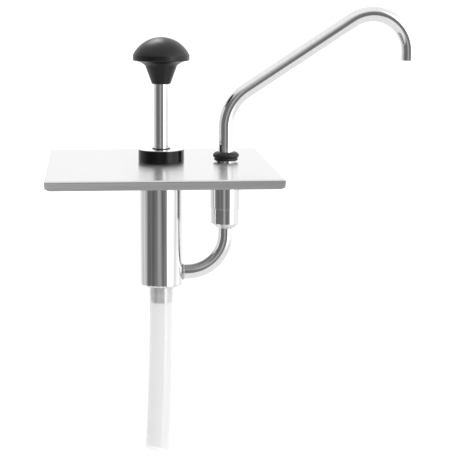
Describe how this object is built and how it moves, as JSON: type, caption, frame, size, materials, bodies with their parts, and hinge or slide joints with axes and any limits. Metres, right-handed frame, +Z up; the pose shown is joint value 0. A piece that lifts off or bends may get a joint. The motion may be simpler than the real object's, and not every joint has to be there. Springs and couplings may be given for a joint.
{
  "type": "condiment pump dispenser",
  "caption": "Hand condiment pump on a folded pan lid: push knob on a rod, cylinder with dip tube under the lid, and a swivelling gooseneck spout.",
  "frame": {"origin": "on the pump's axis, at the underside of the lid, which rests on the pan's rim", "axes": "+Z up along the plunger, +X from the pump to the spout, +Y to the back of the pan"},
  "size_m": [0.2703, 0.176, 0.3351],
  "materials": {
    "satin_steel": "fine satin brushed stainless",
    "polished_steel": "polished stainless",
    "weld_steel": "weld bead, slightly rippled",
    "spring_steel": "drawn stainless wire",
    "black_gloss_plastic": "glossy moulded black",
    "black_satin_plastic": "satin moulded black phenolic",
    "black_rubber": "matte black rubber",
    "white_acetal": "machined white acetal",
    "natural_polyethylene": "translucent natural polyethylene",
    "brass": "turned brass"
  },
  "bodies": {
    "lid": {"lid_plate": "satin_steel", "pump_cylinder": "satin_steel", "cylinder_base": "satin_steel", "base_weld": "weld_steel", "inlet_nipple": "satin_steel", "ball_cage": "satin_steel", "dip_tube": "natural_polyethylene", "collar_nut": "black_gloss_plastic", "collar_disc": "polished_steel", "collar_gasket": "black_rubber", "rod_bushing": "white_acetal", "rod_wiper": "black_rubber", "return_spring": "spring_steel", "discharge_elbow": "polished_steel", "elbow_weld": "weld_steel", "socket_weld": "weld_steel", "socket_sleeve": "satin_steel", "spout_socket": "satin_steel", "socket_head": "satin_steel"},
    "spring_seat": {"piston_washer": "satin_steel"},
    "plunger": {"plunger_rod": "polished_steel", "knob": "black_satin_plastic", "knob_insert": "brass", "stop_bumper": "black_rubber", "piston": "white_acetal", "piston_seal": "black_rubber", "piston_nut": "satin_steel"},
    "spout": {"spout_tube": "polished_steel", "spout_grommet": "black_rubber", "spout_spigot": "satin_steel", "spigot_o_rings": "black_rubber", "ball_stop_pin": "satin_steel"},
    "inlet_ball": {"inlet_ball": "polished_steel"},
    "outlet_ball": {"outlet_ball": "polished_steel"}
  },
  "joints": [
    {"name": "plunger_slide", "type": "slide", "parent": "lid", "child": "spring_seat", "axis": [0, 0, -1], "range_m": [0, 0.044], "stiffness_N_per_m": 460, "springref_m": -0.031, "deforming": ["return_spring"]},
    {"name": "plunger_spin", "type": "hinge", "parent": "spring_seat", "child": "plunger", "pos_m": [0, 0, 0], "axis": [0, 0, 1], "continuous": true},
    {"name": "spout_swivel", "type": "hinge", "parent": "lid", "child": "spout", "pos_m": [0.04763, 0, 0], "axis": [0, 0, 1], "range_deg": [-140, 140]},
    {"name": "inlet_ball_lift", "type": "slide", "parent": "lid", "child": "inlet_ball", "axis": [0, 0, 1], "range_m": [0, 0.0035]},
    {"name": "outlet_ball_lift", "type": "slide", "parent": "lid", "child": "outlet_ball", "axis": [0, 0, 1], "range_m": [0, 0.0035]}
  ]
}
